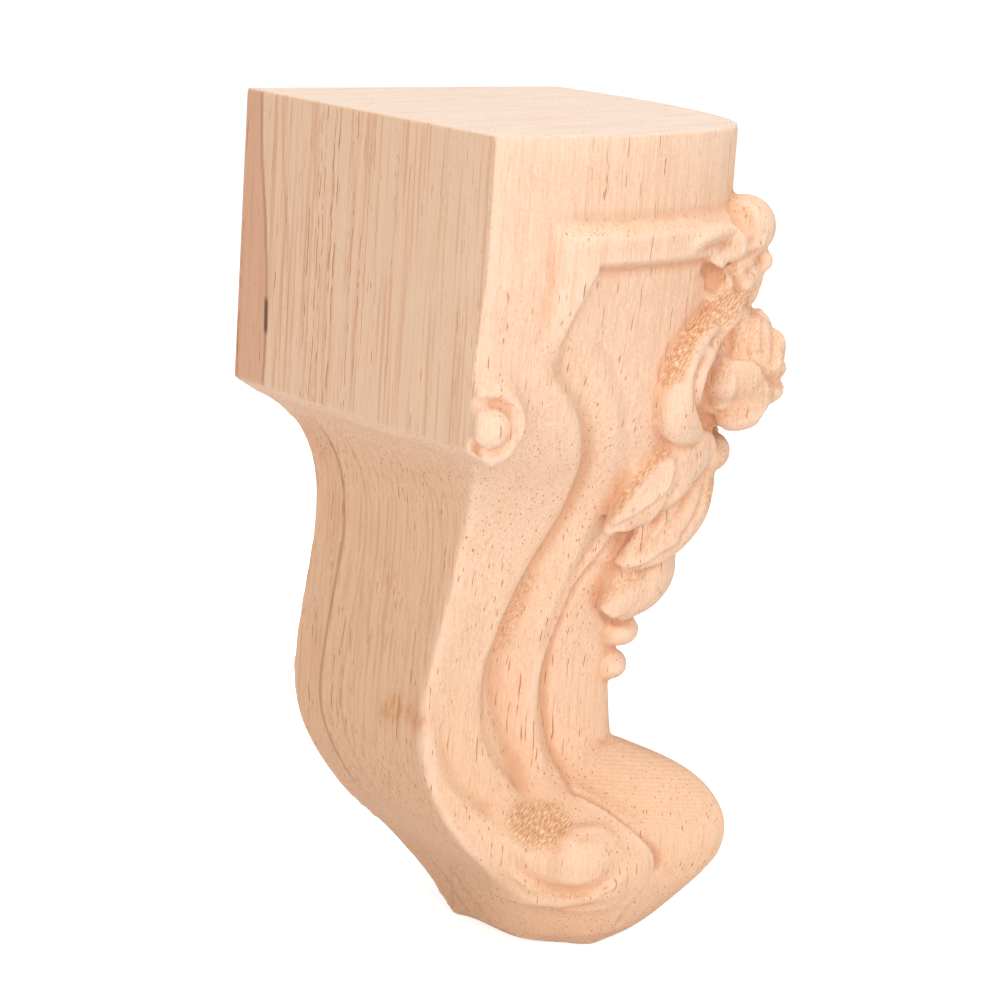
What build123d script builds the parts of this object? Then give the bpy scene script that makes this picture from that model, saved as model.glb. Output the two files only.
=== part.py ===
from build123d import *
import math
import os

# A carved corner foot for furniture, cut from one block of pale hardwood.
# The square inner corner of the block is the Z axis of the construction, at x = 0, y = 0.
# The carved front faces -Y, the two flat inner faces meet toward +Y, and z = 0 is the sole.
# The finished leg is moved at the end, so that its origin is under the middle of its box.

# Driving dimensions, in millimetres
HEIGHT = 100.0
CORNER = 33.5          # side corners of the block lie at x = -CORNER and x = CORNER
LEDGE = 65.4           # underside of the block on its two inner faces
CARVE_TOP = 84.0       # above this height the front of the block is plain, apart from the frame
STOCK = 12.0           # spare wood behind the leg, before the inner faces are sawn

# Shape of the front in plan, as a cubic from the side corner to the middle
SIDE_ANGLE = 56.0      # direction of the front where it leaves the side corner, in degrees
BOW_AT_CORNER = [(100, 0.40), (66, 0.40), (50, 0.35), (30, 0.32)]
BOW_AT_NOSE = [(100, 0.24), (66, 0.24), (50, 0.18), (30, 0.14)]

# Side corner of the front surface by height: z, x, y
SIDE = [
    (100, -33.5, -33.5), (84, -33.5, -33.5), (76, -32.6, -32.8), (70, -32.0, -33.2),
    (65, -29.6, -33.4), (61, -25.6, -32.8), (57, -22.4, -31.8), (50, -19.8, -30.4),
    (42, -19.0, -29.0), (32, -18.0, -27.2), (26, -18.0, -27.7), (22, -17.6, -29.0),
    (18, -17.1, -31.0), (14, -15.6, -34.8),
]
# Middle of the front surface by height: z, y
NOSE = [
    (100, -58.0), (66, -58.0), (60, -57.2), (54, -55.2), (48, -52.4), (42, -49.6),
    (36, -48.0), (31, -47.7), (25, -48.6), (14, -50.0),
]
# Two scroll lines that run down the front, as shares of the way from side to middle: z, share
RIDGE = [
    (78, 0.15), (73, 0.21), (69, 0.27), (60, 0.30), (54, 0.30),
    (46, 0.24), (37, 0.24), (30, 0.29), (14, 0.40),
]
CREASE = [(78, 0.31), (73, 0.40), (66, 0.45), (54, 0.50), (46, 0.51), (34, 0.52), (24, 0.55), (14, 0.62)]
# Depth of the carving by height: z, depth
CHANNEL_DEPTH = [(78, 0.0), (72, 0.7), (60, 1.1), (46, 1.5), (30, 1.5), (14, 1.3)]
CREASE_DEPTH = [(78, 0.0), (68, 0.2), (56, 0.7), (44, 1.2), (30, 1.5), (14, 1.4)]
BAND_SWELL = [(78, 0.0), (60, 0.2), (44, 0.7), (28, 1.0), (14, 0.8)]
CHANNEL_FLOOR = 0.28   # place of the channel's floor between ridge and crest
CREST_WIDTH = 0.055    # width of the slope from crest to crease, as a share

SHAFT_LEVELS = (84, 79, 75, 71, 67, 63, 59, 55, 50, 44, 38, 32, 27, 22, 18, 15)

# Foot, left half in plan by height: z, arris x, y, side x, y, cleft beside the toe x, y, front y
FOOT = [
    (-2, -5.0, -39.6, -5.0, -44.6, -3.6, -48.0, -49.6),
    (0, -6.9, -38.9, -7.0, -45.2, -4.8, -49.8, -51.2),
    (1.4, -8.5, -38.2, -8.7, -45.7, -6.2, -51.6, -53.2),
    (5, -10.8, -37.4, -11.2, -46.0, -6.9, -53.2, -55.5),
    (8, -13.2, -36.6, -13.4, -46.4, -7.4, -54.6, -56.8),
    (10, -15.2, -36.6, -14.8, -46.6, -7.6, -55.3, -57.4),
    (12, -16.2, -36.4, -15.1, -46.6, -7.6, -55.5, -57.5),
    (15, -17.0, -33.8, -14.6, -44.6, -7.5, -54.8, -57.0),
    (18, -17.1, -31.0, -12.8, -40.6, -6.9, -51.6, -54.2),
    (20, -17.0, -29.6, -11.4, -37.6, -6.0, -48.0, -51.0),
    (22.5, -16.0, -27.4, -9.6, -33.4, -4.6, -42.6, -46.5),
]
FOOT_LEVELS = (-2, 0, 1.4, 4, 6.5, 8.5, 10, 12, 14, 16, 18, 19.5, 21, 22.5)
FOOT_SWELL = (-1.3, -0.9)   # how far the lobe swells out between its side and the cleft
# Toe seen from the side, at its middle: y, z
TOE = [
    (-49.3, 24.8), (-55.0, 23.0), (-60.5, 19.9), (-63.4, 15.0),
    (-61.6, 9.0), (-57.4, 4.2), (-54.8, 1.6), (-51.0, -0.6),
]
TOE_HEEL = -38.0       # back end of the toe inside the foot
TOE_BOW = 6.3          # the toe falls back from its middle by x squared over this
TOE_SHOULDER = 12.0    # above this height the toe also rounds down to the clefts
TOE_FALL = 154.0       # by x squared over this for each millimetre above the shoulder
TOE_SLICES = (-7.6, -6.2, -4.6, -2.8, -0.9, 0.9, 2.8, 4.6, 6.2, 7.6)
# Frame moulding across the front: height and how far it stands proud
BAR = [(85.2, 0.0), (86.2, 1.8), (89.0, 1.8), (90.9, 0.0)]
BAR_START, BAR_FULL = 0.155, 0.25      # shares where the bar leaves the front and reaches full height
# Upright by height: z, how far it stands proud, width as a share of the front
UPRIGHT = [
    (90.2, 0.2, 0.125), (89.0, 1.9, 0.125), (85.0, 1.9, 0.115), (82.3, 1.7, 0.085),
    (79.5, 1.4, 0.065), (77.0, 0.9, 0.050), (74.5, 0.0, 0.040),
]
EGG_SIDES = 12         # flats round a petal, bead or bud
EGG_RINGS = (-72, -46, -18, 12, 42, 70)    # latitudes of its level cuts
LEAF_SIDES = 7         # flats round a leaf or stem
SCROLL_SIDES = 20      # flats round a corner scroll

# Sawn line of the inner faces, seen from the side at the inner corner: y, z
SAWN_BACK = [
    (-2.6, 63.9), (-6.5, 61.8), (-9.3, 58.0), (-10.7, 52.5), (-10.2, 43.0), (-9.1, 32.0),
    (-9.8, 24.4), (-12.3, 19.4), (-16.3, 14.7), (-20.9, 11.1), (-24.2, 8.0), (-30.8, 0.0),
]


def follow(knots, z, column=1):
    """Smooth value at height z through hand-set knots, without overshoot."""
    rows = sorted((row[0], row[column]) for row in knots)
    if z <= rows[0][0]:
        return rows[0][1]
    if z >= rows[-1][0]:
        return rows[-1][1]
    index = max(i for i in range(len(rows) - 1) if rows[i][0] <= z)

    def slope(i):
        if i in (0, len(rows) - 1):
            return 0.0
        before = (rows[i][1] - rows[i - 1][1]) / (rows[i][0] - rows[i - 1][0])
        after = (rows[i + 1][1] - rows[i][1]) / (rows[i + 1][0] - rows[i][0])
        return 0.0 if before * after <= 0 else 2 * before * after / (before + after)

    (z0, v0), (z1, v1) = rows[index], rows[index + 1]
    span = z1 - z0
    t = (z - z0) / span
    return (
        (2 * t**3 - 3 * t**2 + 1) * v0
        + (t**3 - 2 * t**2 + t) * span * slope(index)
        + (3 * t**2 - 2 * t**3) * v1
        + (t**3 - t**2) * span * slope(index + 1)
    )


def front_poles(z):
    """Four poles of the uncarved front in plan, on the -X side, from side corner to middle."""
    side = Vector(follow(SIDE, z, 1), follow(SIDE, z, 2))
    nose = Vector(0, follow(NOSE, z))
    reach = (nose - side).length
    lead = Vector(math.cos(math.radians(SIDE_ANGLE)), -math.sin(math.radians(SIDE_ANGLE)))
    return [
        side,
        side + lead * (reach * follow(BOW_AT_CORNER, z)),
        nose - Vector(reach * follow(BOW_AT_NOSE, z), 0),
        nose,
    ]


def on_front(z, share, relief=0.0):
    """Point of the front at a height and a share of its width, and the slope there."""
    a, b, c, d = front_poles(z)
    s, r = share, 1 - share
    point = a * r**3 + b * (3 * s * r**2) + c * (3 * s**2 * r) + d * s**3
    slope = (b - a) * (3 * r**2) + (c - b) * (6 * s * r) + (d - c) * (3 * s**2)
    outward = Vector(slope.Y, -slope.X).normalized()
    return point + outward * relief, slope


def front_edge(z, start, end, reliefs, mirrored=False):
    """One stretch of the front in plan; reliefs lift its four poles off the plain surface."""
    first, slope_first = on_front(z, start)
    last, slope_last = on_front(z, end)
    third = (end - start) / 3
    plain = [first, first + slope_first * third, last - slope_last * third, last]
    poles = []
    for pole, slope, relief in zip(plain, (slope_first, slope_first, slope_last, slope_last), reliefs):
        lifted = pole + Vector(slope.Y, -slope.X).normalized() * relief
        side = -1 if mirrored else 1
        poles.append(Vector(side * lifted.X, lifted.Y, z))
    return Bezier(*reversed(poles)) if mirrored else Bezier(*poles)


def shaft_stretches(z):
    """Stretches of the carved front at one height: start, end and the relief of the poles."""
    ridge, crease = follow(RIDGE, z), follow(CREASE, z)
    crest = crease - CREST_WIDTH
    floor = ridge + (crest - ridge) * CHANNEL_FLOOR
    channel, groove, swell = follow(CHANNEL_DEPTH, z), follow(CREASE_DEPTH, z), follow(BAND_SWELL, z)
    return [
        (-0.25, ridge, (0, swell, swell, 0)),
        (ridge, floor, (0, -0.5 * channel, -channel, -channel)),
        (floor, crest, (-channel, -channel, 0, 0)),
        (crest, crease, (0, -0.2 * groove, -0.8 * groove, -groove)),
        (crease, 1.0, (-groove, -0.3 * groove, 0, 0)),
    ]


def shaft_section(z):
    """Closed outline of the shaft in plan, still with spare wood behind it."""
    stretches = shaft_stretches(z)
    left = [front_edge(z, *stretch) for stretch in stretches]
    right = [front_edge(z, *stretch, mirrored=True) for stretch in reversed(stretches)]
    start, end = left[0] @ 0, right[-1] @ 1
    back = Polyline(end, (end.X, STOCK, z), (start.X, STOCK, z), start)
    return Wire(left + right + back.edges())


def shaft():
    """Carved shaft between the foot and the plain upper part of the block."""
    return loft([Face(shaft_section(z)) for z in SHAFT_LEVELS], ruled=True)


def block():
    """Plain upper part with its bowed front."""
    poles = front_poles(HEIGHT)
    left = Bezier(*[Vector(p.X, p.Y) for p in poles])
    right = Bezier(*[Vector(-p.X, p.Y) for p in reversed(poles)])
    back = Polyline((CORNER, -CORNER), (CORNER, STOCK), (-CORNER, STOCK), (-CORNER, -CORNER))
    plan = Face(Wire([left, right] + back.edges()))
    return extrude(Pos(0, 0, CARVE_TOP) * plan, amount=HEIGHT - CARVE_TOP)


def skin(rings, level=False):
    """Closed solid of flats through rings of points; level rings of one shape give four-sided flats."""
    flats = [Face(Wire.make_polygon(rings[0], close=True)), Face(Wire.make_polygon(rings[-1], close=True))]
    count = len(rings[0])
    for low, high in zip(rings, rings[1:]):
        for number in range(count):
            after = (number + 1) % count
            a, b, c, d = low[number], low[after], high[after], high[number]
            corners = [(a, b, c, d)] if level else [(a, b, c), (a, c, d)]
            flats += [Face(Wire.make_polygon(flat, close=True)) for flat in corners]
    return Solid(Shell(flats))


def foot_ring(z):
    """Points round the foot in plan at one height, with spare wood behind it."""
    arris, side, cleft = (Vector(follow(FOOT, z, n), follow(FOOT, z, n + 1), z) for n in (1, 3, 5))
    beyond = arris + (arris - side).normalized() * 6
    swell = Vector(*FOOT_SWELL)
    flank = Bezier(arris, (arris + side) / 2 + swell * 0.6, side)
    lobe = Bezier(side, side * 0.65 + cleft * 0.35 + swell, side * 0.2 + cleft * 0.8 + swell * 1.4, cleft)
    left = [beyond] + [flank @ (n / 4) for n in range(5)] + [lobe @ (n / 6) for n in range(1, 7)]
    right = [Vector(-point.X, point.Y, z) for point in reversed(left)]
    front = Vector(0, follow(FOOT, z, 7), z)
    return left + [front] + right + [Vector(-beyond.X, STOCK, z), Vector(beyond.X, STOCK, z)]


def foot():
    """Two side lobes of the foot and the sole, behind the toe."""
    return skin([foot_ring(z) for z in FOOT_LEVELS])


def toe():
    """Rolled toe between the two lobes, bowed back and down from its middle to the clefts."""
    slices = []
    for x in TOE_SLICES:
        spots = [(x, y + x**2 / TOE_BOW, z - x**2 / TOE_FALL * max(0, z - TOE_SHOULDER)) for y, z in TOE]
        base = Polyline(spots[-1], (x, TOE_HEEL, spots[-1][2]), (x, TOE_HEEL, spots[0][2]), spots[0])
        slices.append(Face(Wire([Spline(*spots)] + base.edges())))
    return loft(slices, ruled=True)


def flats(plane, wide, thick, sides):
    """Points round an ellipse on a plane, where the flats of a gouged form meet."""
    turns = [2 * math.pi * number / sides for number in range(sides)]
    return [plane.from_local_coords((wide * math.cos(turn), thick * math.sin(turn))) for turn in turns]


def egg(centre, radii, turn=0.0):
    """Egg-shaped swelling with three radii, turned about Z and cut in level flats."""
    rings = []
    for latitude in EGG_RINGS:
        level, spread = math.sin(math.radians(latitude)), math.cos(math.radians(latitude))
        plane = Plane.XY.offset(radii[2] * level)
        rings.append(flats(plane, radii[0] * spread, radii[1] * spread, EGG_SIDES))
    return Pos(*centre) * Rot(0, 0, turn) * skin(rings, level=True)


def leaf(path, widths, thicknesses, facing):
    """Leaf or stem along a path, as wide and thick as listed from its start to its end."""
    line = Spline(*[Vector(*p) for p in path])
    facing = Vector(*facing).normalized()
    last = len(widths) - 1
    rings = []
    for number in range(2 * last + 1):
        place = number / (2 * last)
        along = line % place
        plane = Plane(origin=line @ place, x_dir=along.cross(facing).normalized(), z_dir=along)
        wide = follow(list(enumerate(widths)), number / 2) / 2
        thick = follow(list(enumerate(thicknesses)), number / 2) / 2
        rings.append(flats(plane, wide, thick, LEAF_SIDES))
    return skin(rings)


def both_sides(solid):
    """The solid and its mirror image in the leg's middle plane."""
    return [solid, mirror(solid, about=Plane.YZ)]


def frame_level(z, relief):
    """Outline in plan of the frame moulding at one height, rising softly over its uprights."""
    rise, full = (-0.1, 0.6 * relief, relief, relief), (relief,) * 4
    left = [front_edge(z, BAR_START, BAR_FULL, rise), front_edge(z, BAR_FULL, 1.0, full)]
    right = [front_edge(z, BAR_FULL, 1.0, full, mirrored=True)]
    right += [front_edge(z, BAR_START, BAR_FULL, rise, mirrored=True)]
    chord = Line(right[-1] @ 1, left[0] @ 0)
    return Face(Wire(left + right + [chord]))


def frame_bar():
    """Horizontal moulding across the front, bevelled above and below."""
    return loft([frame_level(z, relief - 0.05) for z, relief in BAR], ruled=True)


def frame_upright():
    """Upright at one end of the bar: flush outside, with a crisp step inside, and fading out below."""
    rings = []
    for z, relief, wide in UPRIGHT:
        start = follow(RIDGE, z)
        shares = [(0.0, -0.3), (0.1 * wide, 0.0), (0.35 * wide, 0.7 * relief), (0.7 * wide, relief),
                  (wide, relief), (wide + 0.012, -0.6)]
        points = [on_front(z, start + share, rise)[0] for share, rise in shares]
        ring = [Vector(point.X, point.Y, z) for point in points]
        rings.append(ring + [ring[-1] + Vector(2, 3, 0), ring[0] + Vector(2, 3, 0)])
    return skin(list(reversed(rings)))


def corner_scroll():
    """Small scroll on the side corner of the block: a disc with a ring groove round its eye."""
    bearing = math.radians(SIDE_ANGLE + 3)
    facing = Vector(-math.sin(bearing), -math.cos(bearing), 0)
    along = Vector(-facing.Y, facing.X, 0)
    plane = Plane(origin=Vector(-CORNER, -CORNER, 68.3) + along * 1.6, x_dir=along, z_dir=facing)

    def drum(radius, front, back):
        rings = [flats(plane.offset(depth), size, size, SCROLL_SIDES)
                 for depth, size in ((back, radius), (front - 0.5, radius), (front, radius - 0.5))]
        return skin(rings, level=True)

    groove = drum(3.4, 0.6, -1.2) - drum(2.2, 0.6, -1.3)
    return drum(4.6, 0.1, -6) - groove


def flower():
    """Rose in the middle of the frame: six outer petals, five inner ones and a heart."""
    middle = Vector(0, -60.6, 71.8)
    rose = egg(middle, (6.6, 3.6, 6.4))
    for number in range(6):
        angle = math.radians(60 * number)
        centre = middle + Vector(5.0 * math.cos(angle), 1.2 * abs(math.cos(angle)), 4.6 * math.sin(angle))
        rose += egg(centre, (3.5, 4.1, 3.5))
    for number in range(5):
        angle = math.radians(72 * number + 90)
        centre = middle + Vector(2.5 * math.cos(angle), -2.4, 2.5 * math.sin(angle))
        rose += egg(centre, (2.6, 2.8, 2.6))
    return rose + egg(middle + Vector(0, -3.8, 0), (1.5, 1.7, 1.5))


def ornament():
    """Carved crest, stems, leaves, husk and buds round and below the flower."""
    outward, forward = (-0.6, -0.8, 0), (0, -1, 0)
    curl = egg((0, -59.6, 88.3), (5.2, 3.8, 3.7))
    bead = egg((0, -62.0, 84.4), (1.3, 1.4, 1.3))
    crest = leaf([(0, -60.6, 86.0), (0, -60.8, 82.5), (0, -60.0, 79.0)], (5, 3.6, 3), (4, 3.2, 3), forward)
    crest_leaf = leaf([(-1.5, -60.2, 87.6), (-5.2, -58.8, 86.8), (-9.4, -56.2, 85.0)],
                      (3.4, 3.8, 1.2), (2.8, 3.0, 1.2), outward)
    crest_rib = leaf([(-1.5, -60.6, 85.0), (-4.6, -58.8, 83.2), (-8.0, -56.2, 80.6)],
                     (2.4, 2.6, 1.2), (2.4, 2.6, 1.4), outward)
    stem = leaf([(-1.0, -61.0, 83.6), (-5.4, -58.8, 79.8), (-10.4, -56.0, 75.6), (-12.6, -54.2, 71.0),
                 (-11.6, -54.4, 67.0), (-7.5, -56.4, 64.4)],
                (2.2, 3.4, 4.8, 6.2, 6.0, 1.6), (2.4, 3.2, 4.0, 4.8, 4.4, 1.8), outward)
    collar = egg((0, -57.6, 61.2), (4.4, 2.6, 2.4))
    outer_leaf = leaf([(-3.0, -57.2, 62.8), (-8.6, -53.9, 60.7),
                       (-11.2, -50.1, 56.6), (-11.8, -46.9, 53.0)],
                      (4.4, 8.2, 6.8, 1.6), (3.4, 4.4, 3.8, 1.4), outward)
    inner_leaf = leaf([(-1.6, -56.6, 60.0), (-4.2, -55.4, 55.4), (-6.6, -52.0, 51.0), (-7.4, -48.6, 47.6)],
                      (4.6, 7.6, 7.0, 2.2), (3.8, 4.8, 4.2, 1.6), outward)
    middle_leaf = leaf([(0, -55.6, 59.0), (0, -55.2, 54.0), (0, -52.6, 49.0)],
                       (5, 6.4, 5), (4.4, 5.6, 4), forward)
    husk = leaf([(0, -50.6, 50.0), (0, -50.2, 46.0), (0, -49.0, 42.6), (0, -48.4, 40.6)],
                (9.5, 12.0, 12.5, 9.0), (8.0, 9.0, 6.6, 3.0), forward)
    husk_wing = leaf([(-2.0, -50.6, 48.6), (-4.8, -49.3, 45.2), (-6.6, -47.2, 41.8)],
                     (5.0, 6.8, 3.0), (4.4, 4.8, 2.4), outward)
    buds = [egg((0, -48.4, 38.4), (3.2, 2.6, 2.0)), egg((0, -47.8, 34.0), (2.4, 2.1, 1.9))]
    spray = curl
    for piece in [bead, crest] + both_sides(crest_leaf) + both_sides(crest_rib) + both_sides(stem):
        spray += piece
    drop = collar
    paired = both_sides(outer_leaf) + both_sides(inner_leaf) + both_sides(husk_wing)
    for piece in paired + [middle_leaf, husk] + buds:
        drop += piece
    return [spray, flower(), drop]


def foot_scroll():
    """Domed eye of one side scroll of the foot and the rim that wraps under it."""
    eye = egg((-11.6, -47.5, 12.8), (3.3, 6.2, 4.8), turn=35)
    rim = leaf([(-15.6, -36.4, 10.8), (-14.4, -41.6, 8.3), (-13.5, -46.4, 7.9),
                (-12.3, -49.8, 8.5), (-9.8, -53.4, 11.6)],
               (1.6, 2.4, 2.6, 2.4, 1.6), (1.6, 2.4, 2.6, 2.4, 1.6), (-1, 0, 0))
    return eye + rim


def sawn_waste():
    """Waste behind the two inner faces, each sawn square across the other face."""
    turn = math.sqrt(0.5)
    profile = [(-y * turn, z) for y, z in SAWN_BACK]
    far = -3 * CORNER
    line = Spline(*profile)
    foot_end = profile[-1]
    corners = [(foot_end[0], -1), (far, -1), (far, HEIGHT + 1), (0, HEIGHT + 1), (0, LEDGE)]
    outline = Polyline(foot_end, *corners, profile[0])
    waste = Face(Wire([line] + outline.edges()))
    cuts = []
    for side in (-1, 1):
        inward = Vector(-side * turn, -turn, 0)
        plane = Plane(origin=(0, 0, 0), x_dir=inward, z_dir=inward.cross(Vector(0, 0, 1)))
        cuts.append(extrude(plane * waste, amount=3 * CORNER, both=True))
    return cuts


def carved_leg():
    """The whole leg as one solid, standing on its sole with its origin under the middle of its box."""
    leg = block()
    for piece in [shaft(), foot(), toe(), frame_bar()]:
        leg += piece
    for piece in both_sides(frame_upright()) + both_sides(corner_scroll()) + both_sides(foot_scroll()):
        leg += piece
    below_sole = Pos(0, -30, -5) * Box(200, 200, 10)
    for waste in sawn_waste() + [below_sole]:
        leg -= waste
    for piece in ornament():
        leg += piece
    box = leg.bounding_box()
    return Pos(-box.center().X, -box.center().Y, 0) * leg


leg = carved_leg()
os.makedirs("parts", exist_ok=True)
export_step(leg, "parts/carved_leg.step")
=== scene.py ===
import math

import bmesh
import bpy
import numpy as np
from mathutils import Matrix, Vector
from mathutils.bvhtree import BVHTree

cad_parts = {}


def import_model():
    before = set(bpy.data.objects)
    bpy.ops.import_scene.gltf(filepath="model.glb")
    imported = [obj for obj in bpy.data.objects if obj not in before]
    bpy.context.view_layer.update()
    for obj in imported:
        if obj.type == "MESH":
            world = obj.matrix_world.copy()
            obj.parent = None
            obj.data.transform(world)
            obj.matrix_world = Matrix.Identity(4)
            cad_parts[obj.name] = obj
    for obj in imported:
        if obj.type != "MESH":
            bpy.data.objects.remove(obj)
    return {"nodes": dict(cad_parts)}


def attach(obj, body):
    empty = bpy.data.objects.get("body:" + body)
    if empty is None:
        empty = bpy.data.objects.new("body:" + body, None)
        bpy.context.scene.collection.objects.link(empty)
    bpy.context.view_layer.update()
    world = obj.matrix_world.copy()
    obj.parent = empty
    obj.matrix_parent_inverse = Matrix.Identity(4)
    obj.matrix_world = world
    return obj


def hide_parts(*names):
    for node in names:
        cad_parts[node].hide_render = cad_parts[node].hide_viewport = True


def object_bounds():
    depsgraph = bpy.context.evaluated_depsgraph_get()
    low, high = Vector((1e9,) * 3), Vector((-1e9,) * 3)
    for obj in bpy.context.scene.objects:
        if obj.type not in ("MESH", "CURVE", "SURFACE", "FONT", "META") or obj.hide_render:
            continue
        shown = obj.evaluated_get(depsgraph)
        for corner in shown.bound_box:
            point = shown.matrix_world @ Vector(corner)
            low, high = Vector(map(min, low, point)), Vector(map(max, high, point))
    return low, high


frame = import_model()
cad_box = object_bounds()
MM = 0.001
CORNER_Y = 33.03           # the square inner corner of the block lies at x = 0, y = CORNER_Y, in mm
SAWN_WAY = np.array((-0.7071, 0.7071, 0))    # outward direction of the left sawn face


# Camera: the photograph's view, fitted to its 1001 x 1001 frame

PHOTO = 1001               # pixels along each side
FOCAL_PX = 3007.1          # focal length in pixels
YAW, PITCH, ROLL = 5.503, 12.747, 3.792      # degrees
EYE = np.array((-351.106, -33.97, 132.795))  # mm


def axes():
    """Directions right, up and into the picture for the photograph's camera."""
    yaw, pitch, roll = (math.radians(a) for a in (YAW, PITCH, ROLL))
    look = Vector((math.cos(yaw) * math.cos(pitch), math.sin(yaw) * math.cos(pitch), -math.sin(pitch)))
    level = Vector((math.sin(yaw), -math.cos(yaw), 0))
    upright = level.cross(look)
    right = level * math.cos(roll) + upright * math.sin(roll)
    up = upright * math.cos(roll) - level * math.sin(roll)
    return right, up, look


RIGHT, UP, LOOK = axes()


def camera():
    """Camera at the photograph's viewing angle, looking along +X and a little down."""
    data = bpy.data.cameras.new("camera")
    data.sensor_width = 36.0
    data.lens = FOCAL_PX / PHOTO * data.sensor_width
    data.clip_start, data.clip_end = 0.01, 10
    data.shift_x, data.shift_y = 0.5 / PHOTO, -0.5 / PHOTO
    cam = bpy.data.objects.new("camera", data)
    turn = Matrix((RIGHT, UP, -LOOK)).transposed().to_4x4()
    cam.matrix_world = Matrix.Translation(Vector(EYE) * MM) @ turn
    bpy.context.collection.objects.link(cam)
    bpy.context.scene.camera = cam


def to_picture(points):
    """Pixel places in the photograph's frame of points in mm."""
    offset = points - EYE
    deep = offset @ np.array(LOOK)
    u = 500 + FOCAL_PX * (offset @ np.array(RIGHT)) / deep
    v = 500 - FOCAL_PX * (offset @ np.array(UP)) / deep
    return np.stack((u, v), axis=1)


def sight(u, v):
    """Direction from the camera through a pixel."""
    return LOOK + RIGHT * ((u - 500) / FOCAL_PX) - UP * ((v - 500) / FOCAL_PX)


# Rounded forms laid over the flats of the solid, left side and middle, in mm from the inner corner

FORWARD, OUTWARD = (0, -1, 0), (-0.6, -0.8, 0)

# Egg-shaped forms: centre, radii, turn about Z
EGGS = [
    ((0, -59.6, 88.3), (5.2, 3.8, 3.7), 0),        # curl at the top
    ((0, -62.0, 84.4), (1.3, 1.4, 1.3), 0),        # bead under it
    ((0, -57.6, 61.2), (4.4, 2.6, 2.4), 0),        # collar under the flower
    ((0, -48.4, 38.4), (3.2, 2.6, 2.0), 0),        # buds
    ((0, -47.8, 34.0), (2.4, 2.1, 1.9), 0),
]
ROSE = (0, -60.6, 71.8)

# Leaves and stems: path, widths, thicknesses, facing
LEAVES = [
    ([(0, -60.6, 86.0), (0, -60.8, 82.5), (0, -60.0, 79.0)], (5, 3.6, 3), (4, 3.2, 3), FORWARD),
    ([(-1.5, -60.2, 87.6), (-5.2, -58.8, 86.8), (-9.4, -56.2, 85.0)],
     (3.4, 3.8, 1.2), (2.8, 3.0, 1.2), OUTWARD),
    ([(-1.5, -60.6, 85.0), (-4.6, -58.8, 83.2), (-8.0, -56.2, 80.6)],
     (2.4, 2.6, 1.2), (2.4, 2.6, 1.4), OUTWARD),
    ([(-1.0, -61.0, 83.6), (-5.4, -58.8, 79.8), (-10.4, -56.0, 75.6), (-12.6, -54.2, 71.0),
      (-11.6, -54.4, 67.0), (-7.5, -56.4, 64.4)],
     (2.2, 3.4, 4.8, 6.2, 6.0, 1.6), (2.4, 3.2, 4.0, 4.8, 4.4, 1.8), OUTWARD),
    ([(-3.0, -57.2, 62.8), (-8.6, -53.9, 60.7), (-11.2, -50.1, 56.6), (-11.8, -46.9, 53.0)],
     (4.4, 8.2, 6.8, 1.6), (3.4, 4.4, 3.8, 1.4), OUTWARD),
    ([(-1.6, -56.6, 60.0), (-4.2, -55.4, 55.4), (-6.6, -52.0, 51.0), (-7.4, -48.6, 47.6)],
     (4.6, 7.6, 7.0, 2.2), (3.8, 4.8, 4.2, 1.6), OUTWARD),
    ([(0, -55.6, 59.0), (0, -55.2, 54.0), (0, -52.6, 49.0)], (5, 6.4, 5), (4.4, 5.6, 4), FORWARD),
    ([(0, -50.6, 50.0), (0, -50.2, 46.0), (0, -49.0, 42.6), (0, -48.4, 40.6)],
     (9.5, 12.0, 12.5, 9.0), (8.0, 9.0, 6.6, 3.0), FORWARD),
    ([(-2.0, -50.6, 48.6), (-4.8, -49.3, 45.2), (-6.6, -47.2, 41.8)],
     (5.0, 6.8, 3.0), (4.4, 4.8, 2.4), OUTWARD),
]


def rose_eggs():
    """The rose: a round heart, six outer petals and five inner ones."""
    middle = np.array(ROSE)
    eggs = [(middle, (6.6, 3.6, 6.4), 0), (middle + (0, -3.8, 0), (1.5, 1.7, 1.5), 0)]
    for number in range(6):
        angle = math.radians(60 * number)
        shift = (5.0 * math.cos(angle), 1.2 * abs(math.cos(angle)), 4.6 * math.sin(angle))
        eggs.append((middle + shift, (3.5, 4.1, 3.5), 0))
    for number in range(5):
        angle = math.radians(72 * number + 90)
        eggs.append((middle + (2.5 * math.cos(angle), -2.4, 2.5 * math.sin(angle)), (2.6, 2.8, 2.6), 0))
    return eggs


def add_egg(bm, centre, radii, turn):
    """Smooth ellipsoid in the bmesh, in metres in the frame."""
    place = Matrix.Translation(Vector(centre) + Vector((0, CORNER_Y, 0)))
    turned = place @ Matrix.Rotation(math.radians(turn), 4, "Z")
    matrix = Matrix.Scale(MM, 4) @ turned @ Matrix.Diagonal((*radii, 1))
    bmesh.ops.create_icosphere(bm, subdivisions=4, radius=1.0, matrix=matrix)


def bend(knots, at):
    """Smooth values through knots at 0, 1, 2 and so on."""
    knots = np.array(knots, float)
    ends = np.concatenate((2 * knots[:1] - knots[1:2], knots, 2 * knots[-1:] - knots[-2:-1]))
    cell = np.clip(np.floor(at).astype(int), 0, len(knots) - 2)
    t = (at - cell)[:, None] if knots.ndim > 1 else at - cell
    a, b, c, d = (ends[cell + n] for n in range(4))
    return 0.5 * (2 * b + (c - a) * t + (2 * a - 5 * b + 4 * c - d) * t**2 + (3 * b - a - 3 * c + d) * t**3)


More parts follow.
